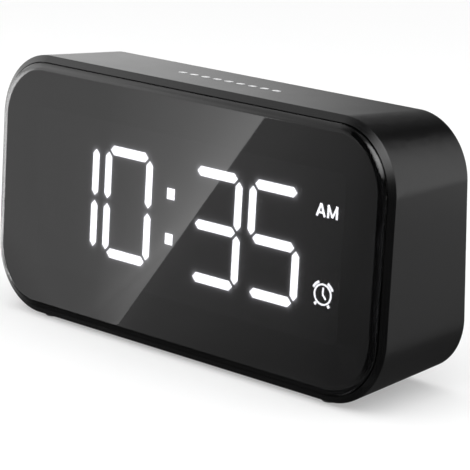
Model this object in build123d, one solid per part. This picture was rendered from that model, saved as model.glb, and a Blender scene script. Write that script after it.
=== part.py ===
from build123d import *
import math
import os

# A bedside digital alarm clock, in millimetres. It stands on its feet at Z zero, faces -Y and has its
# right-hand side at +X. The front leans back, the back stands upright and the case narrows to the back.

# Case
case_width = 160.0
case_height = 77.3
case_depth = 32.5
case_corner = 19.8
front_lean = 4.24
rear_taper = 2.6
wall = 2.0
front_wall = 1.6
rim_inset = 1.9
rim_rise = 1.05
rim_round = 0.3
boss_radius = 3.0
boss_side = 6.9
boss_drop = 10.0

# Lens
lens_rise = 1.25
lens_thickness = 2.5
lens_slope = 1.5
lens_drop = 1.0
lens_gap = 0.1

# Rear cover
cover_edge = 3.2
cover_plate = 2.0
back_round = 0.5
lip_height = 2.0
lip_thickness = 1.2
screw_land = 1.2
screw_land_radius = 4.2

# Display, from its face inwards
digit_space = 5.5
digit_border = 8.9
segment_width = 2.8
segment_gap = 0.68
segment_depth = 2.4
well_depth = 6.4
well_taper = 4.0
colon_dot = 3.2
indicator_width = 11.0
indicator_height = 10.4
indicator_border = 2.0
frame_side = 0.5
frame_drop = 6.0
frame_corner = 2.0
window_lip = 0.5
board_thickness = 1.6
display_board_side = 14.0
display_board_drop = 6.75
display_post_radius = 2.6
display_post_side = 12.0
display_post_margin = 3.2
led_length = 2.0
led_width = 1.2
led_height = 0.8

# Main board and what it carries
main_board_side = 16.4
main_board_drop = 9.05
board_corner = 2.0
board_stand = 8.5
board_post_radius = 2.8
board_post_margin = 4.0
chip_width = 10.0
chip_height = 1.6
crystal_length = 8.0
crystal_width = 3.4
crystal_height = 3.0
capacitor_radius = 3.2
capacitor_clearance = 4.25
buzzer_radius = 6.0
buzzer_bore = 1.5
buzzer_gap = 0.6
sound_hole = 1.6
sound_ring = 3.6
sound_hole_count = 6

# Power socket
socket_width = 9.0
socket_height = 9.5
socket_bore = 6.2
socket_depth = 8.6
socket_pin = 2.0
socket_pin_setback = 0.8

# Backup cell and its door
cell_diameter = 20.0
cell_thickness = 3.2
holder_wall = 1.4
holder_floor = 3.5
contact_thickness = 0.4
contact_width = 5.0
door_radius = 13.0
door_plate = 1.2
door_ledge = 1.8
door_lug_height = 1.0
door_lug_reach = 1.3
door_lug_width = 6.0
door_notch_turn = 45.0
coin_slot_length = 13.0
coin_slot_width = 1.8
coin_slot_depth = 0.7

# Buttons on the back
button_radius = 4.0
button_proud = 1.2
button_edge = 0.4
button_flange = 1.2
button_flange_height = 1.0
button_stem = 2.0
button_travel = 0.6
button_names = ("hour", "minute", "time", "alarm", "dimmer")
switch_width = 6.2
switch_height = 3.5
plunger_radius = 1.75
plunger_sink = 0.6

# Alarm slide switch
slider_width = 3.2
slider_height = 3.0
slider_proud = 1.0
slider_travel = 3.0
slider_flange = 1.2
slider_flange_height = 1.0
slider_peg = 1.6
slide_body_length = 9.4
slide_body_height = 5.2
slide_body_depth = 4.0
slide_channel_depth = 1.6

# Snooze touch pad and ribbon cable
pad_length = 46.0
pad_width = 12.0
pad_thickness = 0.4
pad_tab_width = 6.0
pad_tab_overlap = 3.0
plug_width = 16.0
plug_height = 5.0
plug_depth = 3.2
ribbon_width = 13.0
ribbon_thickness = 0.6
ribbon_lead = 3.0
ribbon_bend = 1.8

# Feet and screws
foot_height = 1.0
foot_radius = 2.5
foot_sink = 0.6
front_foot_side = 22.2
rear_foot_side = 42.0
foot_margin = 1.2
screw_radius = 1.25
screw_head_radius = 2.4
screw_head_height = 1.2
screw_length = 8.0
screw_slot = 0.6
pilot_radius = 1.25
pilot_floor = 1.0
screw_spare = 1.0

# Fits of held, sliding and resting pieces, the bevel on small edges and how far a cut runs past its piece
held_fit = 0.1
running_fit = 0.3
resting_fit = 0.1
small_edge = 0.3
overrun = 1.0

# Places on the display, as shares of half the block's width and height, and of half the digits' height
digit_shares = (-0.7348, -0.3726, 0.2022, 0.5644)
colon_share = -0.0882
colon_rise_share = 0.43
indicator_rise_shares = (0.5, -0.4333)

# Places on the back, as shares of half the main board's width and height
button_shares = (-0.68, -0.34, 0.0, 0.34, 0.68)
button_row_share = 0.5
lower_row_share = -0.44
buzzer_share = -0.78
door_share = -0.36
slider_share = 0.22
socket_share = 0.66
chip_shares = (0.0, 0.3)
crystal_shares = (0.3, 0.3)
capacitor_shares = (0.5, -0.5)
main_plug_shares = (-0.5, 0.4)
display_plug_drop_share = 0.4
lens_round_share = 0.54
lens_corner_share = 0.23
slot_depth_share = 0.5

# Which bars of a digit are lit, and where each bar's middle lies in shares of the digit's half sizes
shown_time = "1035"
lit_bars = {"1": "bc", "0": "abcdef", "3": "abcdg", "5": "acdfg"}
bar_shares = {
    "a": (0, 1),
    "b": (1, 0.5),
    "c": (1, -0.5),
    "d": (0, -1),
    "e": (-1, -0.5),
    "f": (-1, 0.5),
    "g": (0, 0),
}

# Worked out from the sizes above
lean_sine = math.sin(math.radians(front_lean))
lean_cosine = math.cos(math.radians(front_lean))
slope_height = case_height / lean_cosine
middle_height = foot_height + case_height / 2
face_rise = rim_rise + lens_rise
lens_seat = lens_thickness - face_rise
lens_tilt = math.atan2(lens_drop, lens_slope)
lens_slant = math.hypot(lens_drop, lens_slope)
lens_round = lens_round_share * lens_slant / math.tan(lens_tilt / 2)
lens_corner = lens_corner_share * lens_slant / math.tan(math.pi / 4 - lens_tilt / 2)
lens_inset = rim_inset + lens_gap
lens_flat = slope_height / 2 - lens_inset - lens_slope - lens_round_share * lens_slant
front_reach = lens_flat * lean_sine + (face_rise - lens_round) * lean_cosine + lens_round
front_place = (front_reach - case_depth - button_proud) / 2
back_place = front_place + case_depth
display_depth = lens_seat + front_wall
display_board_depth = display_depth + well_depth
display_board_width = case_width - 2 * (wall + display_board_side)
display_board_height = slope_height - 2 * (wall + display_board_drop)
frame_width = display_board_width - 2 * frame_side
frame_height = display_board_height - 2 * frame_drop
digit_width = (digit_shares[1] - digit_shares[0]) * frame_width / 2 - digit_space
digit_height = frame_height - 2 * digit_border
main_board_width = case_width - 2 * (rear_taper + wall + main_board_side)
main_board_height = case_height - 2 * (rear_taper + wall + main_board_drop)
board_depth = cover_plate + board_stand
board_front = board_depth + board_thickness
boss_face = cover_plate + screw_land
whole = 2 * case_width
from_base = (Align.CENTER, Align.CENTER, Align.MIN)
from_top = (Align.CENTER, Align.CENTER, Align.MAX)

# The front plane holds the case's front edge and looks out of the clock. The rear plane holds the back
# edge and looks into the clock, so that its depths run forwards.
front = Plane((0, front_place, middle_height), x_dir=(1, 0, 0), z_dir=(0, -lean_cosine, lean_sine))
rear = Plane((0, back_place, middle_height), x_dir=(1, 0, 0), z_dir=(0, -1, 0))


def at_front(across, up, rise):
    return front * Pos(across, up, rise)


def at_rear(across, up, depth):
    return rear * Pos(across, up, depth)


def front_height(edge):
    return front.to_local_coords(edge.center()).Z


def on_board(shares):
    """Place on the main board from shares of its half sizes."""
    return shares[0] * main_board_width / 2, shares[1] * main_board_height / 2


def group(pieces):
    return Compound([solid for piece in pieces for solid in piece.solids()])


def front_outline(inset):
    return RectangleRounded(case_width - 2 * inset, slope_height - 2 * inset, case_corner - inset)


def tunnel(inset):
    """Inside of the tapering case, at a distance from its outer skin."""
    margin = rear_taper + inset
    far = RectangleRounded(case_width - 2 * margin, case_height - 2 * margin, case_corner - margin)
    return loft([front * front_outline(inset), rear * far], ruled=True)


def slab(plane, low, high):
    """Block across the whole clock between two distances from a plane."""
    return plane * Pos(0, 0, (low + high) / 2) * Box(whole, whole, high - low)


def board_room(up):
    """Distance along Y between the two boards, at a height above the middle."""
    display_back = front_place + (up * lean_sine + display_board_depth + board_thickness) / lean_cosine
    return back_place - board_front - display_back


def corner_places(across, up):
    return [(side * across, level * up) for side in (-1, 1) for level in (-1, 1)]


boss_places = corner_places(
    case_width / 2 - rear_taper - wall - boss_side, case_height / 2 - rear_taper - wall - boss_drop
)
display_post_places = corner_places(
    display_board_width / 2 - display_post_side, display_board_height / 2 - display_post_margin
)
board_post_places = corner_places(
    main_board_width / 2 - board_post_margin, main_board_height / 2 - board_post_margin
)
button_places = [on_board((share, button_row_share)) for share in button_shares]
door_place = on_board((door_share, lower_row_share))
buzzer_place = on_board((buzzer_share, lower_row_share))
slider_place = on_board((slider_share, lower_row_share))
socket_place = on_board((socket_share, lower_row_share))


def floor_height(place):
    """Height of the case's sloping underside at a place along Y."""
    near = front_place - slope_height / 2 * lean_sine
    return foot_height + rear_taper * (place - near) / (back_place - near)


def foot_places():
    near = front_place - slope_height / 2 * lean_sine + foot_radius + foot_margin
    far = back_place - cover_edge - foot_radius - foot_margin
    rows = ((front_foot_side, near), (rear_foot_side, far))
    return [(side * (case_width / 2 - inward), place) for side in (-1, 1) for inward, place in rows]


def make_case():
    skin = tunnel(0) & slab(rear, cover_edge, whole)
    rim = loft([front * front_outline(0), front.offset(rim_rise) * front_outline(rim_inset)], ruled=True)
    skin += rim
    skin = fillet([edge for edge in skin.edges() if abs(front_height(edge)) < rim_rise / 4], rim_round)
    hollow = tunnel(wall) - slab(front, -display_depth, whole)
    pocket_depth = lens_seat + rim_rise + overrun
    pocket = extrude(front.offset(-lens_seat) * front_outline(rim_inset), amount=pocket_depth)
    window = extrude(
        front.offset(-display_depth - overrun)
        * RectangleRounded(frame_width - 2 * window_lip, frame_height - 2 * window_lip, frame_corner),
        amount=front_wall + 2 * overrun,
    )
    body = skin - hollow - pocket - window
    for across, up in boss_places:
        boss = at_rear(across, up, boss_face) * Cylinder(boss_radius, case_depth, align=from_base)
        body += boss & hollow
    for across, up in boss_places:
        grip = screw_length - screw_land + screw_spare
        body -= at_rear(across, up, boss_face) * Cylinder(pilot_radius, grip, align=from_base)
    for across, up in display_post_places:
        post = at_front(across, up, -display_depth)
        body += post * Cylinder(display_post_radius, well_depth, align=from_top)
        seat = at_front(across, up, -display_board_depth)
        body -= seat * Cylinder(pilot_radius, well_depth - pilot_floor, align=from_base)
    for across, place in foot_places():
        roof = floor_height(place) + foot_sink
        body -= Pos(across, place, roof) * Cylinder(foot_radius + held_fit, roof, align=from_top)
    return body


def edges_near(solid, height):
    """Edges that lie level with the front plane, at a height above it."""
    return [edge for edge in solid.edges() if abs(front_height(edge) - height) < lens_drop / 8]


def make_front_lens():
    """Plate whose border slopes back to the rim, rounded where it leaves the flat and at its side."""
    shoulder = face_rise - lens_drop
    plate = extrude(front.offset(-lens_seat) * front_outline(lens_inset), amount=lens_thickness - lens_drop)
    border = [front_outline(lens_inset), front_outline(lens_inset + lens_slope)]
    plate += loft([front.offset(shoulder) * border[0], front.offset(face_rise) * border[1]], ruled=True)
    plate = fillet(edges_near(plate, face_rise), lens_round)
    return fillet(edges_near(plate, shoulder), lens_corner)


def make_rear_cover():
    shell = tunnel(0) & slab(rear, -overrun, cover_edge)
    shell = fillet(shell.faces().sort_by(Axis.Y)[-1].edges(), back_round)
    hollow = tunnel(wall)
    shell -= hollow & slab(rear, cover_plate, cover_edge + overrun)
    lip_inset = wall + held_fit
    lip = tunnel(lip_inset) - tunnel(lip_inset + lip_thickness)
    shell += lip & slab(rear, cover_plate, cover_edge + lip_height)
    root = tunnel(wall) - tunnel(lip_inset + lip_thickness)
    shell += root & slab(rear, cover_plate, cover_edge)
    for across, up in boss_places:
        shell += at_rear(across, up, cover_plate) * Cylinder(screw_land_radius, screw_land, align=from_base)
    for across, up in board_post_places:
        shell += at_rear(across, up, cover_plate) * Cylinder(board_post_radius, board_stand, align=from_base)
    return shell - group(cover_cuts())


def cover_cuts():
    """Everything that is cut through or into the rear cover."""
    cuts = []
    through = cover_plate + 2 * overrun
    for across, up in boss_places:
        hole = Cylinder(screw_radius + held_fit, boss_face + 2 * overrun, align=from_base)
        cuts.append(at_rear(across, up, -overrun) * hole)
        sink = Cylinder(screw_head_radius + held_fit, screw_head_height + overrun, align=from_base)
        cuts.append(at_rear(across, up, -overrun) * sink)
    for across, up in board_post_places:
        grip = Cylinder(pilot_radius, board_stand - pilot_floor, align=from_top)
        cuts.append(at_rear(across, up, board_depth) * grip)
    for across, up in button_places:
        hole = Cylinder(button_radius + running_fit, through, align=from_base)
        cuts.append(at_rear(across, up, -overrun) * hole)
    slot_length = slider_width + slider_travel + 2 * running_fit
    slot = Box(slot_length, slider_height + 2 * running_fit, through, align=from_base)
    cuts.append(at_rear(*slider_place, -overrun) * slot)
    opening = Box(socket_width + 2 * held_fit, socket_height + 2 * held_fit, through, align=from_base)
    cuts.append(at_rear(*socket_place, -overrun) * opening)
    for index in range(sound_hole_count):
        turn = Rot(0, 0, index * 360 / sound_hole_count)
        hole = Pos(sound_ring, 0, 0) * Cylinder(sound_hole / 2, through, align=from_base)
        cuts.append(at_rear(*buzzer_place, -overrun) * turn * hole)
    cuts.append(at_rear(*buzzer_place, -overrun) * Cylinder(sound_hole / 2, through, align=from_base))
    cuts += door_cuts()
    return cuts


def door_cuts():
    """Stepped round opening with two notches, a turn away from the door's lugs."""
    through = cover_plate + 2 * overrun
    mouth = Cylinder(door_radius + running_fit, door_plate + resting_fit + overrun, align=from_base)
    throat = Cylinder(door_radius - door_ledge, through, align=from_base)
    notch = Box(
        2 * (door_radius - door_ledge + door_lug_reach + running_fit),
        door_lug_width + 2 * running_fit,
        through,
        align=from_base,
    )
    place = at_rear(*door_place, -overrun)
    return [place * mouth, place * throat, place * Rot(0, 0, -door_notch_turn) * notch]


def make_cell_door():
    place = at_rear(*door_place, 0)
    plug_radius = door_radius - door_ledge - running_fit
    lug_depth = cover_plate + resting_fit
    door = place * Cylinder(door_radius, door_plate, align=from_base)
    door += place * Cylinder(plug_radius, lug_depth + door_lug_height, align=from_base)
    lugs = Box(
        2 * (door_radius - door_ledge + door_lug_reach), door_lug_width, door_lug_height, align=from_base
    )
    tips = Cylinder(door_radius - door_ledge + door_lug_reach, door_lug_height, align=from_base)
    door += place * Pos(0, 0, lug_depth) * (lugs & tips)
    hollow_depth = lug_depth + door_lug_height + overrun
    door -= place * Cylinder(plug_radius - lip_thickness, hollow_depth, align=from_base)
    door += place * Cylinder(plug_radius, door_plate, align=from_base)
    slot = Box(coin_slot_length, coin_slot_width, 2 * coin_slot_depth)
    return door - place * slot


def bar(length):
    """Six-sided bar with pointed ends, along X."""
    half = length / 2
    tip = segment_width / 2
    waist = half - tip
    points = [(-half, 0), (-waist, tip), (waist, tip), (half, 0), (waist, -tip), (-waist, -tip)]
    return make_face(Polyline(*points, close=True))


def bar_faces(lit):
    """Flat outlines of the bars that are lit, or of those that are dark."""
    faces = []
    for digit_share, figure in zip(digit_shares, shown_time):
        place = digit_share * frame_width / 2
        for name, (side_share, level_share) in bar_shares.items():
            if (name in lit_bars[figure]) != lit:
                continue
            upright = side_share != 0
            length = digit_height / 2 - 2 * segment_gap if upright else digit_width - 2 * segment_gap
            centre = Pos(place + side_share * digit_width / 2, level_share * digit_height / 2, 0)
            faces.append(centre * Rot(0, 0, 90 if upright else 0) * bar(length))
    return faces


def colon_faces():
    across = colon_share * frame_width / 2
    rise = colon_rise_share * digit_height / 2
    return [Pos(across, side * rise, 0) * Rectangle(colon_dot, colon_dot) for side in (-1, 1)]


def indicator_places():
    across = frame_width / 2 - indicator_border - indicator_width / 2
    return [(across, share * frame_height / 2) for share in indicator_rise_shares]


def indicator_faces():
    return [Pos(*place, 0) * Rectangle(indicator_width, indicator_height) for place in indicator_places()]


def display_faces():
    return bar_faces(True) + bar_faces(False) + colon_faces() + indicator_faces()


def make_display_frame():
    """Block of light wells that narrow from the bars to the diodes behind them."""
    face = front.offset(-display_depth)
    block = extrude(face * RectangleRounded(frame_width, frame_height, frame_corner), amount=-well_depth)
    wells = []
    for shape in display_faces():
        wells.append(extrude(face * shape, amount=-segment_depth))
        mouth = face.offset(-segment_depth) * shape
        wells.append(extrude(mouth, amount=segment_depth - well_depth, taper=well_taper))
    return block - group(wells)


def make_windows(faces):
    """Clear fillings at the mouths of the wells."""
    face = front.offset(-display_depth)
    return group([extrude(face * shape, amount=-segment_depth) for shape in faces])


def make_display_leds():
    seat = front.offset(-display_board_depth)
    chip = Box(led_length, led_width, led_height, align=from_base)
    return group([seat * Pos(*tuple(shape.center())) * chip for shape in display_faces()])


def make_display_board():
    sheet = RectangleRounded(display_board_width, display_board_height, board_corner)
    for across, up in display_post_places:
        sheet -= Pos(across, up, 0) * Circle(screw_radius + held_fit)
    return extrude(front.offset(-display_board_depth) * sheet, amount=-board_thickness)


def make_main_board():
    sheet = RectangleRounded(main_board_width, main_board_height, board_corner)
    for across, up in board_post_places:
        sheet -= Pos(across, up, 0) * Circle(screw_radius + held_fit)
    return extrude(rear.offset(board_depth) * sheet, amount=board_thickness)


def screw(length, slot_turns):
    """Screw with a slotted or crossed head above zero and its shank along -Z."""
    head = Cylinder(screw_head_radius, screw_head_height, align=from_base)
    slot_depth = screw_head_height * slot_depth_share
    for turn in slot_turns:
        cut = Box(2 * screw_head_radius - 2 * screw_slot, screw_slot, slot_depth, align=from_top)
        head -= Pos(0, 0, screw_head_height) * Rot(0, 0, turn) * cut
    return head + Cylinder(screw_radius - held_fit, length, align=from_top)


def make_cover_screws():
    shank = screw(screw_length, (0, 90))
    places = [at_rear(across, up, screw_head_height) for across, up in boss_places]
    return group([place * Rot(180, 0, 0) * shank for place in places])


def make_main_board_screws():
    shank = screw(board_thickness + board_stand - pilot_floor - screw_spare, (0,))
    return group([at_rear(across, up, board_front) * shank for across, up in board_post_places])


def make_display_screws():
    shank = screw(board_thickness + well_depth - pilot_floor - screw_spare, (0,))
    depth = -display_board_depth - board_thickness
    places = [at_front(across, up, depth) for across, up in display_post_places]
    return group([place * Rot(180, 0, 0) * shank for place in places])


def make_controller_chip():
    chip = Box(chip_width, chip_width, chip_height, align=from_base)
    return at_rear(*on_board(chip_shares), board_front) * chip


def make_crystal():
    can = Box(crystal_length, crystal_width, crystal_height, align=from_base)
    can = fillet(can.edges().filter_by(Axis.Z), crystal_width / 2 - held_fit)
    return at_rear(*on_board(crystal_shares), board_front) * can


def make_capacitor():
    across, up = on_board(capacitor_shares)
    height = board_room(up + capacitor_radius) - capacitor_clearance
    can = Cylinder(capacitor_radius, height, align=from_base)
    can = chamfer(can.edges().sort_by(Axis.Z)[-1], small_edge)
    return at_rear(across, up, board_front) * can


def make_buzzer():
    height = board_stand - buzzer_gap
    can = Cylinder(buzzer_radius, height, align=from_top)
    can -= Pos(0, 0, -height) * Cylinder(buzzer_bore, height / 2, align=from_base)
    return at_rear(*buzzer_place, board_depth) * can


def make_power_socket():
    body = Box(socket_width, socket_height, board_depth, align=from_base)
    return at_rear(*socket_place, 0) * (body - Cylinder(socket_bore / 2, socket_depth, align=from_base))


def make_power_pin():
    length = socket_depth - socket_pin_setback
    pin = Cylinder(socket_pin / 2, length, align=from_top)
    pin = chamfer(pin.edges().sort_by(Axis.Z)[0], socket_pin / 4)
    return at_rear(*socket_place, socket_depth) * pin


def make_coin_cell():
    cell = Cylinder(cell_diameter / 2, cell_thickness, align=from_top)
    cell = chamfer(cell.edges().sort_by(Axis.Z)[0], small_edge)
    return at_rear(*door_place, board_depth - holder_floor - contact_thickness) * cell


def make_cell_holder():
    outer = cell_diameter / 2 + running_fit + holder_wall
    height = holder_floor + contact_thickness + cell_thickness / 2
    cup = Cylinder(outer, height, align=from_top)
    cup -= Pos(0, 0, -holder_floor) * Cylinder(outer - holder_wall, height, align=from_top)
    finger_room = Box(2 * outer, contact_width, height, align=from_top)
    cup -= Pos(0, 0, -holder_floor - contact_thickness) * finger_room
    return at_rear(*door_place, board_depth) * cup


def make_cell_contact():
    strip = Box(cell_diameter - 2 * holder_wall, contact_width, contact_thickness, align=from_top)
    return at_rear(*door_place, board_depth - holder_floor) * strip


def make_button(place):
    """Push button: a cap through the cover, a flange that holds it in and a stem down to its switch."""
    seat = cover_plate + resting_fit
    cap = Pos(0, 0, -button_proud) * Cylinder(button_radius, button_proud + seat, align=from_base)
    cap = chamfer(cap.edges().sort_by(Axis.Z)[0], button_edge)
    flange = Cylinder(button_radius + button_flange, button_flange_height, align=from_base)
    stem_end = plunger_top()
    stem = Cylinder(button_stem, stem_end - seat, align=from_base)
    return at_rear(*place, 0) * (cap + Pos(0, 0, seat) * (flange + stem))


def plunger_top():
    return board_depth - switch_height - button_travel - plunger_sink


def make_plunger(place):
    height = button_travel + 2 * plunger_sink
    return at_rear(*place, plunger_top()) * Cylinder(plunger_radius, height, align=from_base)


def make_tact_switches():
    body = Box(switch_width, switch_width, switch_height, align=from_top)
    bore_depth = plunger_sink + button_travel + resting_fit
    bore = Cylinder(plunger_radius + running_fit, bore_depth, align=from_base)
    switch = body - Pos(0, 0, -switch_height) * bore
    return group([at_rear(*place, board_depth) * switch for place in button_places])


def make_alarm_switch_body():
    body = Box(slide_body_length, slide_body_height, slide_body_depth, align=from_top)
    channel_length = slider_peg + slider_travel + 2 * running_fit
    channel = Box(channel_length, slider_peg + 2 * running_fit, slide_channel_depth, align=from_base)
    return at_rear(*slider_place, board_depth) * (body - Pos(0, 0, -slide_body_depth) * channel)


def make_alarm_slider():
    """Slider at its switched-on end: a cap, a flange under the slot and a peg in the switch."""
    seat = cover_plate + resting_fit
    cap = Pos(0, 0, -slider_proud) * Box(slider_width, slider_height, slider_proud + seat, align=from_base)
    cap = chamfer(cap.faces().sort_by(Axis.Z)[0].edges(), small_edge)
    flange_length = slider_width + slider_travel + 2 * slider_flange
    flange = Box(flange_length, slider_height + 2 * slider_flange, slider_flange_height, align=from_base)
    peg_end = board_depth - slide_body_depth + slide_channel_depth - running_fit
    peg = Box(slider_peg, slider_peg, peg_end - seat, align=from_base)
    on_place = (slider_place[0] + slider_travel / 2, slider_place[1])
    return at_rear(*on_place, 0) * (cap + Pos(0, 0, seat) * (flange + peg))


def make_touch_pad():
    """Foil under the top wall, with a tab down to the main board."""
    top = case_height / 2
    foil = tunnel(wall) - tunnel(wall + pad_thickness)
    area = at_rear(0, top, board_front + pad_thickness) * Box(pad_length, top, pad_width)
    tab_length = top - main_board_height / 2 + pad_tab_overlap
    tab = Box(pad_tab_width, tab_length, pad_thickness, align=(Align.CENTER, Align.MIN, Align.MIN))
    tab = at_rear(0, main_board_height / 2 - pad_tab_overlap, board_front) * tab
    return (foil & area) + (tab & tunnel(wall))


def make_ribbon_plugs():
    plug = Box(plug_width, plug_height, plug_depth, align=from_base)
    back_plug = at_rear(*on_board(main_plug_shares), board_front) * plug
    return group([back_plug, display_plug_place() * Rot(180, 0, 0) * plug])


def display_plug_place():
    across = on_board(main_plug_shares)[0]
    drop = display_plug_drop_share * display_board_height / 2
    return at_front(across, -drop, -display_board_depth - board_thickness)


def make_ribbon_cable():
    """Flat cable that leaves one plug downwards and enters the other from above."""
    across, up = on_board(main_plug_shares)
    start = at_rear(across, up - plug_height / 2 - resting_fit, board_front + plug_depth / 2)
    end = display_plug_place() * Pos(0, plug_height / 2 + resting_fit, -plug_depth / 2)
    lead = Vector(0, 0, ribbon_lead)
    first = start.position
    last = end.position
    path = FilletPolyline(first, first - lead, last + lead, last, radius=ribbon_bend)
    section = Plane(first, x_dir=(1, 0, 0), z_dir=(0, 0, -1)) * Rectangle(ribbon_width, ribbon_thickness)
    return sweep(section, path=path)


def make_rubber_feet():
    feet = []
    for across, place in foot_places():
        foot = Cylinder(foot_radius, floor_height(place) + foot_sink, align=from_base)
        feet.append(Pos(across, place, 0) * chamfer(foot.edges().sort_by(Axis.Z)[0], small_edge))
    return group(feet)


pieces = {
    "case": make_case(),
    "rear_cover": make_rear_cover(),
    "front_lens": make_front_lens(),
    "display_frame": make_display_frame(),
    "lit_segments": make_windows(bar_faces(True)),
    "unlit_segments": make_windows(bar_faces(False)),
    "colon_dots": make_windows(colon_faces()),
    "indicator_windows": make_windows(indicator_faces()),
    "display_leds": make_display_leds(),
    "display_board": make_display_board(),
    "display_screws": make_display_screws(),
    "main_board": make_main_board(),
    "main_board_screws": make_main_board_screws(),
    "controller_chip": make_controller_chip(),
    "crystal": make_crystal(),
    "capacitor": make_capacitor(),
    "buzzer": make_buzzer(),
    "power_socket": make_power_socket(),
    "power_pin": make_power_pin(),
    "coin_cell": make_coin_cell(),
    "cell_holder": make_cell_holder(),
    "cell_contact": make_cell_contact(),
    "cell_door": make_cell_door(),
    "tact_switches": make_tact_switches(),
    "alarm_switch_body": make_alarm_switch_body(),
    "alarm_slider": make_alarm_slider(),
    "touch_pad": make_touch_pad(),
    "ribbon_plugs": make_ribbon_plugs(),
    "ribbon_cable": make_ribbon_cable(),
    "rubber_feet": make_rubber_feet(),
    "cover_screws": make_cover_screws(),
}
for button_name, button_place in zip(button_names, button_places):
    pieces[button_name + "_button"] = make_button(button_place)
    pieces[button_name + "_plunger"] = make_plunger(button_place)

os.makedirs("parts", exist_ok=True)
for node, shape in pieces.items():
    export_step(shape, f"parts/{node}.step")
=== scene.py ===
import math

import bmesh
import bpy
from mathutils import Matrix, Vector


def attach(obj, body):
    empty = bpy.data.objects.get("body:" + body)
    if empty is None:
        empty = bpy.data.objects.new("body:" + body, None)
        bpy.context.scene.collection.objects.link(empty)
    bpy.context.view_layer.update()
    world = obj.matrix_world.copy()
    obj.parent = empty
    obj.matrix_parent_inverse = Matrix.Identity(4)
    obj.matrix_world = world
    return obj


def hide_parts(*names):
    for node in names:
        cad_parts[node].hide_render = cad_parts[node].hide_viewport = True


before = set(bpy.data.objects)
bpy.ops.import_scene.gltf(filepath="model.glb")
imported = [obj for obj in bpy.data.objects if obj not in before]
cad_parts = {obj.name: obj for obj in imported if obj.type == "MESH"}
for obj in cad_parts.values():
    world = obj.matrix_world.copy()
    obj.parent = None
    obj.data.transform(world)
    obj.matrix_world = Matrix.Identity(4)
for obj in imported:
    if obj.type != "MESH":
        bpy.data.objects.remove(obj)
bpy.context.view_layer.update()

scene = bpy.context.scene
mm = 0.001
mergeGap = 0.002 * mm  # points of a solid's loose triangles that lie this close are one point
rightWay, backWay, upWay = (1, 0, 0), (0, 1, 0), (0, 0, 1)
print("frame loaded", len(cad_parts), "nodes")


# places that several pieces share: the leaning front plane and the sloping top, in millimetres
clockPlanes = {"lean": 4.24, "frontY": -14.4315, "middle": 39.65, "displayRise": -1.8,
               "topFront": (-11.566, 78.3), "topBack": (18.068, 75.7)}


def frontMatrix(rise):
    lean = math.radians(clockPlanes["lean"])
    up = Vector((0, math.sin(lean), math.cos(lean)))
    out = Vector((0, -math.cos(lean), math.sin(lean)))
    origin = Vector((0, clockPlanes["frontY"], clockPlanes["middle"])) + out * rise
    turn = Matrix((rightWay, up, out)).transposed().to_4x4()
    return Matrix.Translation(origin * mm) @ turn


def topMatrix(depth):
    nearY, nearZ = clockPlanes["topFront"]
    farY, farZ = clockPlanes["topBack"]
    along = Vector((0, farY - nearY, farZ - nearZ)).normalized()
    across = Vector(rightWay)
    share = (depth - nearY) / (farY - nearY)
    origin = Vector((0, depth, nearZ + (farZ - nearZ) * share))
    turn = Matrix((across, along, across.cross(along))).transposed().to_4x4()
    return Matrix.Translation(origin * mm) @ turn


# node helpers
def addNode(tree, kind, place, **values):
    node = tree.nodes.new(kind)
    node.location = place
    for key, value in values.items():
        setattr(node, key, value)
    return node


def link(tree, source, target):
    tree.links.new(source, target)


# a math node's inputs are other nodes' outputs or plain numbers
def fillInputs(tree, node, values):
    for socket, value in zip(node.inputs, values):
        if isinstance(value, bpy.types.NodeSocket):
            link(tree, value, socket)
        else:
            socket.default_value = value


def addMath(tree, operation, place, *values):
    node = addNode(tree, "ShaderNodeMath", place, operation=operation)
    fillInputs(tree, node, values)
    return node.outputs[0]


def addVectorMath(tree, operation, place, *values):
    node = addNode(tree, "ShaderNodeVectorMath", place, operation=operation)
    fillInputs(tree, node, values)
    return node.outputs["Value" if operation in ("LENGTH", "DOT_PRODUCT") else "Vector"]


def fillRamp(elements, steps):
    while len(elements) < len(steps):
        elements.new(0.5)
    for element, (place, tone) in zip(elements, steps):
        element.position = place
        element.color = (tone, tone, tone, 1)


def makeGroup(name, inputs, outputs):
    group = bpy.data.node_groups.new(name, "ShaderNodeTree")
    for label, kind, value in inputs:
        socket = group.interface.new_socket(label, in_out="INPUT", socket_type=kind)
        socket.default_value = value
    for label, kind in outputs:
        group.interface.new_socket(label, in_out="OUTPUT", socket_type=kind)
    start = addNode(group, "NodeGroupInput", (-800, 0))
    end = addNode(group, "NodeGroupOutput", (600, 0))
    return group, start.outputs, end.inputs


# moulded surface: fine spark grain, slow mottling of tone and gloss
grainDetail, mottleDetail = 3.0, 4.0


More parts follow.
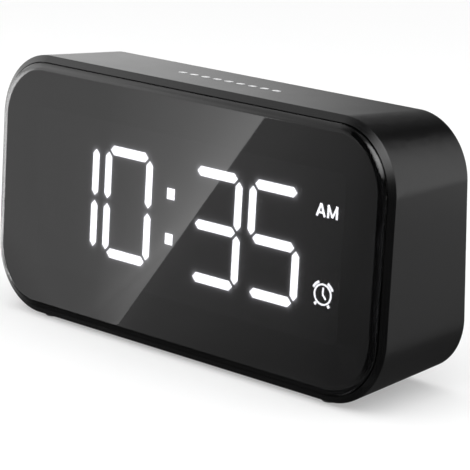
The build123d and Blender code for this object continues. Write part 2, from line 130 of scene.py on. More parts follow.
def makeGrainGroup():
    group, given, result = makeGroup(
        "mouldedGrain",
        [("Tone", "NodeSocketColor", (0.03, 0.03, 0.03, 1)), ("Tone Spread", "NodeSocketFloat", 0.2),
         ("Gloss Base", "NodeSocketFloat", 0.5), ("Gloss Spread", "NodeSocketFloat", 0.1),
         ("Grain Scale", "NodeSocketFloat", 2500.0), ("Mottle Scale", "NodeSocketFloat", 60.0)],
        [("Color", "NodeSocketColor"), ("Roughness", "NodeSocketFloat"), ("Height", "NodeSocketFloat")])
    coords = addNode(group, "ShaderNodeTexCoord", (-800, 300))
    grain = addNode(group, "ShaderNodeTexNoise", (-560, 300))
    mottle = addNode(group, "ShaderNodeTexNoise", (-560, 0))
    noises = ((grain, "Grain Scale", grainDetail), (mottle, "Mottle Scale", mottleDetail))
    for noise, label, detail in noises:
        noise.inputs["Detail"].default_value = detail
        link(group, coords.outputs["Object"], noise.inputs["Vector"])
        link(group, given[label], noise.inputs["Scale"])
    both = addMath(group, "ADD", (-340, 120), grain.outputs["Fac"], mottle.outputs["Fac"])
    centred = addMath(group, "SUBTRACT", (-180, 120), both, 1.0)
    shade = addMath(group, "MULTIPLY_ADD", (0, 220), centred, given["Tone Spread"], 1.0)
    colour = addNode(group, "ShaderNodeVectorMath", (200, 220), operation="SCALE")
    link(group, given["Tone"], colour.inputs[0])
    link(group, shade, colour.inputs["Scale"])
    gloss = addMath(group, "MULTIPLY_ADD", (0, -60), centred, given["Gloss Spread"], given["Gloss Base"])
    link(group, colour.outputs[0], result["Color"])
    link(group, gloss, result["Roughness"])
    link(group, grain.outputs["Fac"], result["Height"])
    return group


# handled gloss: broad smears, as a roughness
smearNoise = {"Detail": 5.0, "Distortion": 0.6}
smearRange = {"From Min": 0.45, "From Max": 0.75}


def makeSmearGroup():
    group, given, result = makeGroup(
        "handledGloss",
        [("Gloss Base", "NodeSocketFloat", 0.03), ("Smear", "NodeSocketFloat", 0.02),
         ("Smear Scale", "NodeSocketFloat", 35.0), ("Stretch", "NodeSocketVector", (1.0, 1.0, 1.0))],
        [("Roughness", "NodeSocketFloat")])
    coords = addNode(group, "ShaderNodeTexCoord", (-800, 300))
    wide = addVectorMath(group, "MULTIPLY", (-620, 300), coords.outputs["Object"], given["Stretch"])
    smear = addNode(group, "ShaderNodeTexNoise", (-440, 300))
    mask = addNode(group, "ShaderNodeMapRange", (-220, 300))
    for node, values in ((smear, smearNoise), (mask, smearRange)):
        for label, value in values.items():
            node.inputs[label].default_value = value
    link(group, wide, smear.inputs["Vector"])
    link(group, given["Smear Scale"], smear.inputs["Scale"])
    link(group, smear.outputs["Fac"], mask.inputs["Value"])
    gloss = addMath(group, "MULTIPLY_ADD", (0, 100), mask.outputs[0], given["Smear"], given["Gloss Base"])
    link(group, gloss, result["Roughness"])
    return group


# painted glow round the lit bars: emission painted on the dark plastic close round each one stands in for
# their light scattered there
barGlowPaint = {"nodes": ("lit_segments", "colon_dots"), "round": 1.4, "deep": 10.0, "strength": 4.0,
         "near": 0.6, "nearFall": -2.2, "far": 0.04, "farFall": -0.42}


# each bar's reach to the right and up the front plane, in millimetres
def litBars(node):
    bm = bmesh.new()
    bm.from_mesh(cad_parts[node].data)
    bmesh.ops.remove_doubles(bm, verts=bm.verts, dist=mergeGap)
    flatten = frontMatrix(0).inverted()
    seen, bars = set(), []
    for first in bm.verts:
        if first in seen:
            continue
        seen.add(first)
        bar = [first]
        for vert in bar:  # grows while its neighbours join
            for other in [edge.other_vert(vert) for edge in vert.link_edges]:
                if other not in seen:
                    seen.add(other)
                    bar.append(other)
        spots = [flatten @ vert.co / mm for vert in bar]
        reaches = [[spot[axis] for spot in spots] for axis in (0, 1)]
        bars.append([(min(reach), max(reach)) for reach in reaches])
    bm.free()
    return bars


# painted glow: brightness that falls off with distance from each lit bar's edge, used as emission colour
def makePaintedGlowGroup():
    group, _, result = makeGroup("paintedBarGlow", [], [("Color", "NodeSocketColor")])
    coords = addNode(group, "ShaderNodeTexCoord", (-1400, 0))
    flat = addNode(group, "ShaderNodeMapping", (-1200, 0), vector_type="TEXTURE")
    place = frontMatrix(0)
    flat.inputs["Location"].default_value = place.to_translation()
    flat.inputs["Rotation"].default_value = place.to_euler()
    flat.inputs["Scale"].default_value = (mm, mm, mm)
    link(group, coords.outputs["Object"], flat.inputs["Vector"])
    nearest = None
    for bar in [bar for node in barGlowPaint["nodes"] for bar in litBars(node)]:
        middle = [(low + high) / 2 for low, high in bar] + [0.0]
        core = [max((high - low) / 2 - barGlowPaint["round"], 0.0) for low, high in bar] + [barGlowPaint["deep"]]
        offset = addVectorMath(group, "SUBTRACT", (-1000, 0), flat.outputs[0], middle)
        apart = addVectorMath(group, "ABSOLUTE", (-900, 0), offset)
        past = addVectorMath(group, "SUBTRACT", (-800, 0), apart, core)
        outside = addVectorMath(group, "MAXIMUM", (-700, 0), past, (0, 0, 0))
        distance = addVectorMath(group, "LENGTH", (-600, 0), outside)
        nearest = addMath(group, "MINIMUM", (-500, 0), nearest, distance) if nearest else distance
    glow = 0.0
    for share, fall in ((barGlowPaint["near"], barGlowPaint["nearFall"]), (barGlowPaint["far"], barGlowPaint["farFall"])):
        power = addMath(group, "MULTIPLY_ADD", (-300, 0), nearest, fall, -fall * barGlowPaint["round"])
        fade = addMath(group, "EXPONENT", (-100, 0), power)
        glow = addMath(group, "MULTIPLY_ADD", (100, 0), fade, share, glow)
    link(group, glow, result["Color"])
    return group


grainGroup = makeGrainGroup()
smearGroup = makeSmearGroup()
paintedGlowGroup = makePaintedGlowGroup()


def newMaterial(name):
    material = bpy.data.materials.new(name)
    material.use_nodes = True
    tree = material.node_tree
    return material, tree, tree.nodes["Principled BSDF"]


def placeGroup(tree, group, values, place):
    node = addNode(tree, "ShaderNodeGroup", place, node_tree=group)
    for label, value in values.items():
        node.inputs[label].default_value = value
    return node


# a grained finish: tone, roughness and bump from the grain group
def grainedMaterial(name, tone, toneSpread=0.25, rough=0.5, roughSpread=0.12, grain=2500.0, mottle=60.0,
                    bump=0.15, depth=0.04, metal=0.0, specular=0.5, glowPainted=False):
    material, tree, shader = newMaterial(name)
    skin = placeGroup(tree, grainGroup, {
        "Tone": (*tone, 1), "Tone Spread": toneSpread, "Gloss Base": rough, "Gloss Spread": roughSpread,
        "Grain Scale": grain, "Mottle Scale": mottle}, (-600, 200))
    link(tree, skin.outputs["Color"], shader.inputs["Base Color"])
    link(tree, skin.outputs["Roughness"], shader.inputs["Roughness"])
    relief = addNode(tree, "ShaderNodeBump", (-300, -200))
    relief.inputs["Strength"].default_value = bump
    relief.inputs["Distance"].default_value = depth * mm
    link(tree, skin.outputs["Height"], relief.inputs["Height"])
    link(tree, relief.outputs["Normal"], shader.inputs["Normal"])
    shader.inputs["Metallic"].default_value = metal
    shader.inputs["Specular IOR Level"].default_value = specular
    # painted glow: the light round the lit bars is painted into this surface as emission
    if glowPainted:
        glow = placeGroup(tree, paintedGlowGroup, {}, (-600, -500))
        link(tree, glow.outputs["Color"], shader.inputs["Emission Color"])
        shader.inputs["Emission Strength"].default_value = barGlowPaint["strength"]
        material.cycles.emission_sampling = "NONE"
    return material


# milky light window that glows
milkySkin = {"Tone": (1.0, 1.0, 1.0, 1), "Tone Spread": 0.12, "Gloss Base": 0.5, "Gloss Spread": 0.1,
             "Grain Scale": 900.0, "Mottle Scale": 240.0}


def glowMaterial(name, strength):
    material, tree, shader = newMaterial(name)
    skin = placeGroup(tree, grainGroup, milkySkin, (-600, 200))
    link(tree, skin.outputs["Color"], shader.inputs["Base Color"])
    link(tree, skin.outputs["Color"], shader.inputs["Emission Color"])
    link(tree, skin.outputs["Roughness"], shader.inputs["Roughness"])
    shader.inputs["Emission Strength"].default_value = strength
    return material


# smoked lens: clear dark plastic with faint smears
lensFinish = {"tint": (0.05, 0.05, 0.053, 1), "ior": 1.49, "gloss": 0.01, "smear": 0.012, "smearScale": 30.0,
              "stretch": (1.0, 1.0, 2.0)}


def smokedMaterial(name):
    material, tree, shader = newMaterial(name)
    smear = placeGroup(tree, smearGroup, {
        "Gloss Base": lensFinish["gloss"], "Smear": lensFinish["smear"],
        "Smear Scale": lensFinish["smearScale"], "Stretch": lensFinish["stretch"]}, (-400, 100))
    link(tree, smear.outputs["Roughness"], shader.inputs["Roughness"])
    shader.inputs["Base Color"].default_value = lensFinish["tint"]
    shader.inputs["Transmission Weight"].default_value = 1.0
    shader.inputs["IOR"].default_value = lensFinish["ior"]
    return material


finishLooks = {
    "caseBlack": dict(tone=(0.002, 0.002, 0.0021), rough=0.23, roughSpread=0.08, grain=2600.0, mottle=45.0,
                      bump=0.18, specular=0.35),
    "keyBlack": dict(tone=(0.007, 0.007, 0.0073), rough=0.3, grain=3200.0, bump=0.12),
    "rubberBlack": dict(tone=(0.016, 0.016, 0.016), rough=0.75, grain=1500.0, bump=0.35),
    # the wells and dark windows carry the painted glow round the lit bars
    "wellBlack": dict(tone=(0.012, 0.012, 0.013), rough=0.7, grain=1800.0, bump=0.2, glowPainted=True),
    "windowDark": dict(tone=(0.014, 0.014, 0.015), rough=0.5, grain=900.0, bump=0.05, glowPainted=True),
    "boardGreen": dict(tone=(0.02, 0.11, 0.05), toneSpread=0.5, rough=0.35, grain=700.0, mottle=260.0),
    "screwZinc": dict(tone=(0.2, 0.2, 0.21), rough=0.34, grain=1800.0, metal=1.0),
    "chipBlack": dict(tone=(0.02, 0.02, 0.021), rough=0.55, grain=3000.0),
    "canSteel": dict(tone=(0.6, 0.6, 0.61), toneSpread=0.12, rough=0.28, grain=2400.0, metal=1.0),
    "sleeveGrey": dict(tone=(0.45, 0.47, 0.5), toneSpread=0.15, rough=0.3, grain=800.0, metal=1.0),
    "socketBlack": dict(tone=(0.018, 0.018, 0.019), rough=0.3, grain=3600.0, bump=0.06),
    "contactBrass": dict(tone=(0.62, 0.46, 0.2), toneSpread=0.2, rough=0.3, grain=1600.0, metal=1.0),
    "holderGrey": dict(tone=(0.06, 0.06, 0.062), rough=0.5),
    "plugIvory": dict(tone=(0.7, 0.67, 0.58), toneSpread=0.1, rough=0.45, grain=1400.0),
    "ribbonGrey": dict(tone=(0.32, 0.33, 0.35), toneSpread=0.15, rough=0.5, grain=1200.0),
    "diodeResin": dict(tone=(0.8, 0.74, 0.45), toneSpread=0.15, rough=0.25, grain=1200.0, bump=0.05),
    "printSilver": dict(tone=(0.65, 0.65, 0.66), toneSpread=0.3, rough=0.4, grain=2400.0, bump=0.1),
}
litStrengths = {"digitWhite": 28.0, "signWhite": 22.0}
finishes = {name: grainedMaterial(name, **look) for name, look in finishLooks.items()}
finishes.update({name: glowMaterial(name, strength) for name, strength in litStrengths.items()})
finishes["smokedLens"] = smokedMaterial("smokedLens")
print("finishes made", len(finishes))


# a mesh takes its finish: smooth across curves, crisp at edges
def finishMesh(mesh, material, crease):
    old = mesh.attributes.get("custom_normal")
    if old:
        mesh.attributes.remove(old)
    mesh.materials.clear()
    mesh.materials.append(material)
    mesh.shade_smooth()
    mesh.set_sharp_from_angle(angle=math.radians(crease))


def addPiece(name, mesh, body):
    piece = bpy.data.objects.new(name, mesh)
    scene.collection.objects.link(piece)
    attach(piece, body)
    return piece


# the lens draws in a little at its side wall, so that the line round it reads as dark as it is
seam = {"open": 0.12, "level": 0.5, "leastLean": 0.1}


def openSeam(bm):
    out = frontMatrix(0).to_3x3().col[2]
    bm.normal_update()
    moves = []
    for vert in bm.verts:
        flat = vert.normal - out * vert.normal.dot(out)
        walls = [face for face in vert.link_faces if abs(face.normal.dot(out)) < seam["level"]]
        if walls and flat.length > seam["leastLean"]:
            moves.append((vert, flat.normalized()))
    for vert, flat in moves:
        vert.co -= flat * seam["open"] * mm


# shaded copies of the solids that show: doubles merged, flat parts joined
copyLook = {"crease": 28, "flatWithin": 0.3, "normalWeight": 100}


def smoothCopy(node, name, body, slot, finish):
    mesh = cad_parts[node].data.copy()
    mesh.name = name
    bm = bmesh.new()
    bm.from_mesh(mesh)
    bmesh.ops.remove_doubles(bm, verts=bm.verts, dist=mergeGap)
    if node == "front_lens":
        openSeam(bm)
    flatWithin = math.radians(copyLook["flatWithin"])
    bmesh.ops.dissolve_limit(bm, angle_limit=flatWithin, verts=bm.verts, edges=bm.edges)
    bm.to_mesh(mesh)
    bm.free()
    finishMesh(mesh, finishes[finish], copyLook["crease"])
    piece = addPiece(name, mesh, body)
    normals = piece.modifiers.new("evenNormals", "WEIGHTED_NORMAL")
    normals.keep_sharp = True
    normals.weight = copyLook["normalWeight"]
    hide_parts(node)


keyNames = ("hour", "minute", "time", "alarm", "dimmer")
shownSolids = [
    ("case", "caseShell", "clock", "case_plastic", "caseBlack"),
    ("rear_cover", "backCover", "clock", "case_plastic", "caseBlack"),
    ("front_lens", "frontLens", "clock", "lens_plastic", "smokedLens"),
    ("rubber_feet", "footPads", "clock", "rubber", "rubberBlack"),
    ("cell_door", "cellDoor", "door", "control_plastic", "keyBlack"),
    ("alarm_slider", "alarmSlide", "alarm_slide", "control_plastic", "keyBlack"),
    ("cover_screws", "coverScrews", "clock", "screw_steel", "screwZinc"),
    ("power_socket", "powerSocket", "clock", "socket_black", "socketBlack"),
    ("power_pin", "powerPin", "clock", "brass", "contactBrass"),
]
shownSolids += [
    (key + "_button", key + "Key", key + "_key", "control_plastic", "keyBlack") for key in keyNames]
for solidRow in shownSolids:
    smoothCopy(*solidRow)
print("shaded copies made", len(shownSolids))


# solids whose shape is right keep their mesh and take a finish
keptFinishes = {
    "display_frame": "wellBlack", "lit_segments": "digitWhite", "colon_dots": "digitWhite",
    "unlit_segments": "windowDark", "indicator_windows": "windowDark", "display_leds": "diodeResin",
    "display_board": "boardGreen", "main_board": "boardGreen", "display_screws": "screwZinc",
    "main_board_screws": "screwZinc", "controller_chip": "chipBlack", "tact_switches": "chipBlack",
    "alarm_switch_body": "chipBlack", "buzzer": "chipBlack", "crystal": "canSteel", "coin_cell": "canSteel",
    "capacitor": "sleeveGrey", "cell_contact": "contactBrass", "touch_pad": "contactBrass",
    "cell_holder": "holderGrey", "ribbon_plugs": "plugIvory", "ribbon_cable": "ribbonGrey",
}
keptFinishes.update({key + "_plunger": "holderGrey" for key in keyNames})
for node, finish in keptFinishes.items():
    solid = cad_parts[node]
    if not solid.material_slots:
        solid.data.materials.append(None)
    for materialSlot in solid.material_slots:
        materialSlot.material = finishes[finish]
print("kept solids finished", len(keptFinishes))


# flat signs: strokes and arcs on a plane, with a little thickness
signCrease = 30


def addStroke(bm, start, end, width):
    a, b = Vector(start), Vector(end)
    made = bmesh.ops.create_grid(bm, x_segments=1, y_segments=1, size=0.5)
    for vert in made["verts"]:
        vert.co.x = math.copysign((b - a).length / 2, vert.co.x)
        vert.co.y = math.copysign(width / 2, vert.co.y)
    turn = Matrix.Rotation(math.atan2(b.y - a.y, b.x - a.x), 4, "Z")
    middle = (a + b) / 2
    bmesh.ops.transform(bm, matrix=Matrix.Translation((middle.x, middle.y, 0)) @ turn, verts=made["verts"])
    return made["verts"]


def addArc(bm, radius, width, startTurn, sweep, steps):
    near, far = radius - width / 2, radius + width / 2
    first = math.radians(startTurn)
    verts = [bm.verts.new((r * math.cos(first), r * math.sin(first), 0)) for r in (near, far)]
    edge = bm.edges.new(verts)
    bmesh.ops.spin(bm, geom=[*verts, edge], cent=(0, 0, 0), axis=upWay, angle=math.radians(sweep),
                   steps=steps, use_merge=sweep == 360, use_duplicate=False)


def thicken(bm, height):
    faces = bm.faces[:]
    bmesh.ops.recalc_face_normals(bm, faces=faces)
    if sum(face.normal.z for face in faces) < 0:
        bmesh.ops.reverse_faces(bm, faces=faces)
    raised = bmesh.ops.extrude_face_region(bm, geom=faces, use_keep_orig=True)
    moved = [item for item in raised["geom"] if isinstance(item, bmesh.types.BMVert)]
    bmesh.ops.translate(bm, verts=moved, vec=(0, 0, height))
    bmesh.ops.recalc_face_normals(bm, faces=bm.faces[:])


def signPiece(name, bm, matrix, finish):
    bmesh.ops.scale(bm, vec=(mm, mm, mm), verts=bm.verts[:])
    bmesh.ops.transform(bm, matrix=matrix, verts=bm.verts[:])
    mesh = bpy.data.meshes.new(name)
    bm.to_mesh(mesh)
    bm.free()
    finishMesh(mesh, finishes[finish], signCrease)
    addPiece(name, mesh, "clock")


# lit letters A and M, drawn in strokes over the upper window
letters = {"left": 51.18, "base": 10.45, "height": 3.5, "widthA": 3.7, "widthM": 3.9, "gap": 0.5,
           "stroke": 0.72, "thin": 0.8, "bar": 0.3, "barFrom": 0.2, "barTo": 0.8, "dip": 0.08,
           "rise": 0.05, "thick": 0.1}


def makeLetters():
    bm = bmesh.new()
    x, y, h = letters["left"], letters["base"], letters["height"]
    w, s = letters["widthA"], letters["stroke"]
    thin = s * letters["thin"]
    addStroke(bm, (x + s / 2, y), (x + w / 2, y + h), s)
    addStroke(bm, (x + w - s / 2, y), (x + w / 2, y + h), s)
    bar = y + h * letters["bar"]
    addStroke(bm, (x + w * letters["barFrom"], bar), (x + w * letters["barTo"], bar), thin)
    x, w = x + w + letters["gap"], letters["widthM"]
    dip = y + h * letters["dip"]
    addStroke(bm, (x + s / 2, y), (x + s / 2, y + h), s)
    addStroke(bm, (x + w - s / 2, y), (x + w - s / 2, y + h), s)
    addStroke(bm, (x + s / 2, y + h), (x + w / 2, dip), thin)
    addStroke(bm, (x + w - s / 2, y + h), (x + w / 2, dip), thin)
    thicken(bm, letters["thick"])
    matrix = frontMatrix(clockPlanes["displayRise"] + letters["rise"])
    signPiece("morningSign", bm, matrix, "signWhite")


# small clock with two bells, over the lower window
alarmSign = {"centre": (55.5, -10.4), "radius": 2.75, "stroke": 0.5, "steps": 48, "stretch": 1.1,
             "bellRadius": 3.55, "bellWidth": 0.68, "bells": ((113, 42), (25, 40)), "bellSteps": 8,
             "feet": (230, 306), "footFrom": 3.2, "footTo": 4.0, "footWidth": 0.75,
             "hands": ((0.1, 1.9), (1.1, -1.2)), "rise": 0.05, "thick": 0.1}


def makeAlarmSign():
    bm = bmesh.new()
    stroke = alarmSign["stroke"]
    addArc(bm, alarmSign["radius"], stroke, 0, 360, alarmSign["steps"])
    for turn, sweep in alarmSign["bells"]:
        addArc(bm, alarmSign["bellRadius"], alarmSign["bellWidth"], turn, sweep, alarmSign["bellSteps"])
    for turn in alarmSign["feet"]:
        way = Vector((math.cos(math.radians(turn)), math.sin(math.radians(turn))))
        addStroke(bm, way * alarmSign["footFrom"], way * alarmSign["footTo"], alarmSign["footWidth"])
    for hand in alarmSign["hands"]:
        addStroke(bm, (0, 0), hand, stroke)
    thicken(bm, alarmSign["thick"])
    bmesh.ops.scale(bm, vec=(alarmSign["stretch"], 1, 1), verts=bm.verts[:])
    bmesh.ops.translate(bm, vec=(*alarmSign["centre"], 0), verts=bm.verts[:])
    matrix = frontMatrix(clockPlanes["displayRise"] + alarmSign["rise"])
    signPiece("alarmSign", bm, matrix, "signWhite")


# row of plain raised dashes over the touch zone on top
touchMarks = {"depth": 3.0, "from": -18.0, "to": 20.0, "count": 9, "long": 2.6, "wide": 2.0, "thick": 0.08,
              "corner": 0.8, "cornerSteps": 6}


def makeTouchMarks():
    bm = bmesh.new()
    step = (touchMarks["to"] - touchMarks["from"]) / (touchMarks["count"] - 1)
    reach = touchMarks["long"] / 2
    for index in range(touchMarks["count"]):
        x = touchMarks["from"] + index * step
        verts = addStroke(bm, (x - reach, 0), (x + reach, 0), touchMarks["wide"])
        bmesh.ops.bevel(bm, geom=verts, offset=touchMarks["corner"], offset_type="OFFSET", profile=0.5,
                        segments=touchMarks["cornerSteps"], affect="VERTICES", material=-1)
    thicken(bm, touchMarks["thick"])
    signPiece("touchMarks", bm, topMatrix(touchMarks["depth"]), "printSilver")


makeLetters()
makeAlarmSign()
makeTouchMarks()
print("signs made")


# stage: a white floor, and cards that only reflections see
def stagePlane(name, corners, material, glossOnly):
    bm = bmesh.new()
    bm.faces.new([bm.verts.new(corner) for corner in corners])
    mesh = bpy.data.meshes.new(name)
    bm.to_mesh(mesh)
    bm.free()
    mesh.materials.append(material)
    plane = bpy.data.objects.new(name, mesh)
    scene.collection.objects.link(plane)
    if glossOnly:
        plane.visible_camera = plane.visible_diffuse = plane.visible_shadow = False
        plane.visible_transmission = plane.visible_volume_scatter = False


def flatCorners(low, high, height):
    spots = (low, (high[0], low[1]), high, (low[0], high[1]))
    return [(*spot, height) for spot in spots]


def wallCorners(first, last, low, high):
    return [(*first, low), (*last, low), (*last, high), (*first, high)]


floorLook = {"half": 3.0, "drop": 0.05, "tone": (0.93, 0.93, 0.93, 1), "rough": 0.9,
             "lift": 0.34, "liftFrom": 0.3, "liftTo": 0.9}
seenRays = ("Is Camera Ray", "Is Glossy Ray", "Is Transmission Ray")


# keeps the clock's shadow, and is white all over well away from it
def makeFloor():
    material, tree, shader = newMaterial("paleFloor")
    shader.inputs["Base Color"].default_value = floorLook["tone"]
    shader.inputs["Roughness"].default_value = floorLook["rough"]
    shader.inputs["Specular IOR Level"].default_value = 0.0
    seenBy = addNode(tree, "ShaderNodeLightPath", (-900, 300))
    anyRay = 0.0
    for label in seenRays:
        anyRay = addMath(tree, "MAXIMUM", (-500, 300), anyRay, seenBy.outputs[label])
    coords = addNode(tree, "ShaderNodeTexCoord", (-900, 0))
    reach = addVectorMath(tree, "LENGTH", (-700, 0), coords.outputs["Object"])
    rise = addNode(tree, "ShaderNodeMapRange", (-500, 0))
    for label, key in (("From Min", "liftFrom"), ("From Max", "liftTo"), ("To Min", "lift")):
        rise.inputs[label].default_value = floorLook[key]
    link(tree, reach, rise.inputs["Value"])
    lift = addNode(tree, "ShaderNodeEmission", (0, -300))
    mix = addNode(tree, "ShaderNodeMixShader", (300, 200))
    share = addMath(tree, "MULTIPLY", (-200, 300), anyRay, rise.outputs[0])
    fillInputs(tree, mix, (share, shader.outputs[0], lift.outputs[0]))
    link(tree, mix.outputs[0], tree.nodes["Material Output"].inputs["Surface"])
    half = floorLook["half"]
    stagePlane("floor", flatCorners((-half, -half), (half, half), -floorLook["drop"] * mm), material, False)


# a card's glow: one tone ramp, or several multiplied, each over its own value
def addRamp(tree, value, ramp, place):
    low, high = ramp[0][0], ramp[-1][0]
    top = max(tone for step, tone in ramp)
    span = addNode(tree, "ShaderNodeMapRange", (-400, place))
    span.inputs["From Min"].default_value = low
    span.inputs["From Max"].default_value = high
    link(tree, value, span.inputs["Value"])
    tones = addNode(tree, "ShaderNodeValToRGB", (-200, place))
    fillRamp(tones.color_ramp.elements, [((step - low) / (high - low), tone / top) for step, tone in ramp])
    link(tree, span.outputs[0], tones.inputs["Fac"])
    return tones.outputs["Color"], top


def glowCard(name, corners, ramps):
    material, tree, shader = newMaterial(name)
    tree.nodes.remove(shader)
    coords = addNode(tree, "ShaderNodeTexCoord", (-1200, 0))
    glow = addNode(tree, "ShaderNodeEmission", (300, 0))
    colour, strength = None, 1.0
    for index, (makeValue, ramp) in enumerate(ramps):
        tone, top = addRamp(tree, makeValue(tree, coords.outputs["Object"]), ramp, -300 * index)
        strength *= top
        colour = addVectorMath(tree, "MULTIPLY", (100, -300 * index), colour, tone) if colour else tone
    link(tree, colour, glow.inputs["Color"])
    glow.inputs["Strength"].default_value = strength
    link(tree, glow.outputs[0], tree.nodes["Material Output"].inputs["Surface"])
    stagePlane(name, corners, material, True)


# how far a spot lies along a way
def alongWay(way, origin=(0, 0, 0)):
    def makeValue(tree, coords):
        offset = addVectorMath(tree, "SUBTRACT", (-1000, 0), coords, origin)
        return addVectorMath(tree, "DOT_PRODUCT", (-800, 0), offset, way)
    return makeValue


# the lens shows this card: a fan of light whose bright part ends at a straight edge
fanLook = {"origin": (-0.4902, -0.5457, 0.0), "along": (0.6616, 0.7498, 0.0), "side": (-0.7498, 0.6616, 0.0),
           "reach": 0.745, "height": 0.6, "low": (-0.9, -1.0), "high": (0.9, 0.015),
           "ramp": ((-1.0, 1.62), (-0.63, 1.75), (-0.38, 1.92), (-0.19, 2.17), (-0.12, 2.25), (-0.05, 2.5),
                    (-0.013, 2.87), (0.0, 2.95), (0.008, 2.78), (0.017, 2.58), (0.032, 2.18), (0.057, 1.76),
                    (0.085, 1.48), (0.12, 1.18), (0.16, 1.11), (0.2, 1.07), (0.25, 1.08), (0.3, 0.97),
                    (0.35, 0.9), (1.0, 0.9)),
           "stepRamp": ((-0.0012, 0.24), (-0.0002, 1.0)),
           "sideRamp": ((-0.2, 0.05), (-0.09, 0.08), (-0.078, 0.55), (-0.066, 0.62), (-0.06, 0.72),
                        (-0.054, 0.8), (-0.039, 0.9), (-0.02, 1.0), (0.0, 1.0)),
           "footTilts": (-20.0, 400.0),
           "footRamp": ((0.33, 1.0), (0.4, 1.03), (0.45, 1.04), (0.48, 0.98), (0.505, 0.9), (0.54, 0.89),
                        (0.568, 0.83), (0.59, 0.77), (0.605, 0.75), (0.637, 0.655), (0.69, 0.62))}

# the part of that card that the lens shows on its rounded left side, spread about the foot of that side
edgeLook = {"origin": (-0.076, -0.017, 0.0), "along": rightWay, "side": backWay, "reach": 0.0,
            "ramp": ((-1.0, 1.0), (-0.815, 1.0), (-0.79, 3.0), (-0.7, 6.5), (-0.5, 7.6), (-0.3, 7.0),
                     (-0.15, 4.0), (0.0, 2.1), (0.4, 1.7))}
leastRoom = 0.01  # keeps the share finite past the end of the fan


# how far a spot lies to the side, as a share of what is left of the fan's reach
def fanShare(look):
    def makeValue(tree, coords):
        across = alongWay(look["side"], look["origin"])(tree, coords)
        along = alongWay(look["along"], look["origin"])(tree, coords)
        left = addMath(tree, "SUBTRACT", (-700, -200), look["reach"], along)
        room = addMath(tree, "MAXIMUM", (-640, -200), left, leastRoom)
        return addMath(tree, "DIVIDE", (-560, 0), across, room)
    return makeValue


# how near a spot lies to the foot of the fan's bright edge: falls off slowly inside the fan, fast outside it
def footShare(look):
    ways = [Vector(look["along"]) + Vector(look["side"]) * tilt for tilt in look["footTilts"]]

    def makeValue(tree, coords):
        values = [alongWay(way, look["origin"])(tree, coords) for way in ways]
        return addMath(tree, "MINIMUM", (-560, -400), *values)
    return makeValue


makeFloor()
glowCard("fanCard", flatCorners(fanLook["low"], fanLook["high"], fanLook["height"] * mm), [
    (fanShare(fanLook), fanLook["ramp"]),
    (fanShare(fanLook), fanLook["stepRamp"]),
    (fanShare(edgeLook), edgeLook["ramp"]),
    (alongWay(fanLook["side"], fanLook["origin"]), fanLook["sideRamp"]),
    (footShare(fanLook), fanLook["footRamp"]),
])

# plain cards: under the clock, on the floor beside it, behind it, and dark flags in front; the ones under
# and beside the clock are painted shadow, the clock's shade on the floor as reflections see it
plainCards = {
    # painted shadow: dark under the clock, lighter past its ends
    "underShadowCard": {"corners": flatCorners((-0.11, -0.026), (0.095, 0.04), 0.8 * mm),
                  "ramp": ((-0.11, 1.2), (-0.095, 0.55), (-0.084, 0.3), (-0.072, 0.13), (-0.062, 0.05),
                           (0.07, 0.05), (0.1, 0.25))},
    # painted shadow: dark next to the clock's right side, lighter further away
    "sideShadowCard": {"corners": flatCorners((0.03, 0.0151), (0.9, 0.9), 0.6 * mm),
                 "ramp": ((0.06, 0.03), (0.077, 0.08), (0.088, 0.19), (0.097, 0.38), (0.12, 0.58),
                          (0.17, 0.63), (0.25, 0.67), (0.9, 0.67))},
    "nearLeft": {"corners": flatCorners((-0.2, -0.045), (-0.11, 0.0151), 0.7 * mm),
                 "ramp": ((-0.2, 3.6), (-0.15, 2.2), (-0.11, 1.0))},
    "leftFloor": {"corners": flatCorners((-0.7, 0.0151), (-0.1, 0.2), 0.6 * mm),
                  "ramp": ((-0.7, 1.35), (-0.38, 1.2), (-0.2, 0.9), (-0.1, 0.85))},
    "backCard": {"corners": wallCorners((-0.8, 0.25), (0.35, 0.25), 0.001, 0.4),
                 "ramp": ((-0.8, 0.98), (-0.34, 0.93), (-0.3, 0.85), (-0.24, 0.65), (-0.15, 0.21),
                          (-0.07, 0.17), (-0.004, 0.09), (0.03, 0.04), (0.084, 0.05), (0.11, 0.29),
                          (0.152, 0.78), (0.185, 1.2), (0.225, 1.65), (0.27, 1.65), (0.3, 1.35),
                          (0.35, 1.1))},
    "tallFlag": {"corners": wallCorners((-0.5, -0.75), (-0.08, -0.75), 0.0, 0.62),
                 "ramp": ((-0.5, 0.03), (-0.08, 0.03))},
    "lowFlag": {"corners": wallCorners((-0.08, -0.75), (0.3, -0.75), 0.0, 0.25),
                "ramp": ((-0.08, 0.03), (0.3, 0.03))},
    "rightFlag": {"corners": wallCorners((0.3, -0.75), (0.95, 0.15), 0.0, 0.25),
                  "ramp": ((0.3, 0.03), (0.95, 0.03))},
}
for name, look in plainCards.items():
    glowCard(name, look["corners"], [(alongWay(rightWay), look["ramp"])])

# wall on the left, seen on the upper edge of the lens and darker upwards and to the front,
# and a bright strip at its foot, seen on the rounded left side of the lens
wallLooks = {
    "leftCard": {"corners": wallCorners((-0.35, -0.6), (-0.35, 0.05), 0.055, 0.8),
                 "riseRamp": ((0.05, 1.0), (0.2, 1.0), (0.3, 0.6), (0.4, 0.45), (0.8, 0.33)),
                 "nearRamp": ((-0.6, 0.35), (-0.44, 0.75), (-0.41, 0.95), (-0.375, 1.35), (-0.335, 1.6),
                              (-0.3, 1.85), (-0.26, 2.0), (-0.235, 2.3), (-0.2, 2.8), (-0.12, 2.4),
                              (-0.05, 1.7), (0.05, 1.5))},
    "leftStrip": {"corners": wallCorners((-0.34, -0.235), (-0.34, 0.05), 0.0007, 0.12),
                  "riseRamp": ((0.0, 1.0), (0.08, 1.0), (0.12, 0.45)),
                  "nearRamp": ((-0.235, 2.0), (-0.21, 5.5), (-0.154, 6.8), (-0.1, 6.2), (-0.058, 3.8),
                               (-0.017, 2.1), (0.05, 1.6))},
}
for name, look in wallLooks.items():
    glowCard(name, look["corners"], [
        (alongWay(upWay), look["riseRamp"]), (alongWay(backWay), look["nearRamp"])])

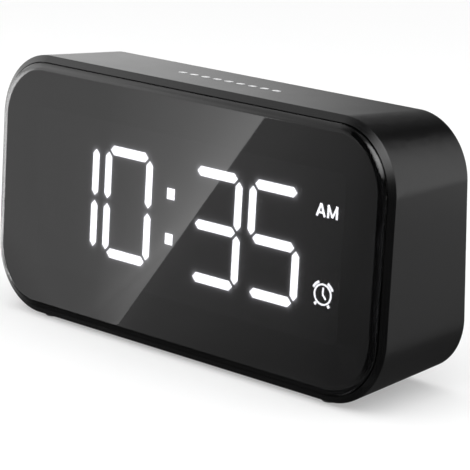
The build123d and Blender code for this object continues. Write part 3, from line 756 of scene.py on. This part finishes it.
# large soft box above the camera, seen on the rounded edges
boxLook = {"middle": (0.525, -0.464, 0.704), "right": (0.7071, 0.7071, 0.0), "up": (-0.5, 0.5, 0.7071),
           "half": (1.4, 0.9), "slant": 0.25,
           "upRamp": ((-1.2, 0.03), (-0.48, 0.05), (-0.42, 0.5), (-0.37, 1.4), (-0.24, 3.4), (-0.11, 5.3),
                      (0.02, 6.4), (0.13, 5.9), (0.27, 5.0), (0.31, 4.3), (0.38, 2.2), (0.46, 0.6),
                      (0.6, 0.4), (1.2, 0.5)),
           "acrossRamp": ((-1.4, 0.0), (-1.15, 0.1), (-0.96, 0.22), (-0.8, 0.5), (-0.7, 0.75), (-0.5, 1.0),
                          (0.1, 1.0), (0.3, 0.8), (0.6, 0.45), (1.0, 0.2), (1.4, 0.1))}
boxRight, boxUp, boxMiddle = (Vector(boxLook[key]) for key in ("right", "up", "middle"))
boxCorners = [boxMiddle + boxRight * boxLook["half"][0] * side + boxUp * boxLook["half"][1] * level
              for side, level in ((-1, -1), (1, -1), (1, 1), (-1, 1))]
glowCard("softBoxCard", boxCorners, [
    (alongWay(boxUp - boxRight * boxLook["slant"], boxMiddle), boxLook["upRamp"]),
    (alongWay(boxRight, boxMiddle), boxLook["acrossRamp"]),
])
print("stage set")


def aimed(place, aim):
    return (Vector(aim) - Vector(place)).to_track_quat("-Z", "Y").to_euler()


# camera at the photograph's place, for its 470 by 470 pixels; the render size is not set here
cameraPlace = {"eye": (513.8, -487.656, 213.5), "target": (21.6, -14.432, 39.36),
               "lens": 196.44, "sensor": 36.0, "clip": (0.01, 50.0)}
cameraData = bpy.data.cameras.new("viewCamera")
cameraData.lens = cameraPlace["lens"]
cameraData.sensor_width = cameraPlace["sensor"]
cameraData.clip_start, cameraData.clip_end = cameraPlace["clip"]
viewCamera = bpy.data.objects.new("viewCamera", cameraData)
eye, target = (Vector(cameraPlace[key]) * mm for key in ("eye", "target"))
viewCamera.location = eye
viewCamera.rotation_euler = aimed(eye, target)
scene.collection.objects.link(viewCamera)
scene.camera = viewCamera
print("camera set")


# broad lamp overhead, a low one on the left, and a pale sky that darkens upwards
lampLooks = {
    "overhead": {"place": (0.55, -0.35, 1.1), "aim": (0.55, -0.35, 0.0),
                 "size": (2.4, 2.4), "radiance": 1.84},
    "leftLow": {"place": (-0.55, -0.1, 0.2), "aim": (-0.07, -0.02, 0.0),
                "size": (0.4, 0.25), "radiance": 2.2},
}
skyTones = [(0.0, 1.0), (0.3, 1.15), (0.38, 1.15), (0.52, 0.06), (1.0, 0.06)]
for name, look in lampLooks.items():
    lamp = bpy.data.lights.new(name, "AREA")
    lamp.shape = "RECTANGLE"
    lamp.size, lamp.size_y = look["size"]
    lamp.energy = look["radiance"] * math.pi * lamp.size * lamp.size_y
    lampObject = bpy.data.objects.new(name, lamp)
    lampObject.location = look["place"]
    lampObject.rotation_euler = aimed(look["place"], look["aim"])
    lampObject.visible_camera = lampObject.visible_glossy = False
    scene.collection.objects.link(lampObject)

world = bpy.data.worlds.new("studio")
scene.world = world
world.use_nodes = True
worldTree = world.node_tree
skyCoords = addNode(worldTree, "ShaderNodeTexCoord", (-900, 0))
skySplit = addNode(worldTree, "ShaderNodeSeparateXYZ", (-700, 0))
skyRamp = addNode(worldTree, "ShaderNodeValToRGB", (-500, 0))
fillRamp(skyRamp.color_ramp.elements, skyTones)
link(worldTree, skyCoords.outputs["Generated"], skySplit.inputs[0])
link(worldTree, skySplit.outputs["Z"], skyRamp.inputs["Fac"])
link(worldTree, skyRamp.outputs["Color"], worldTree.nodes["Background"].inputs["Color"])
scene.view_settings.view_transform = "Standard"
print("lights set")
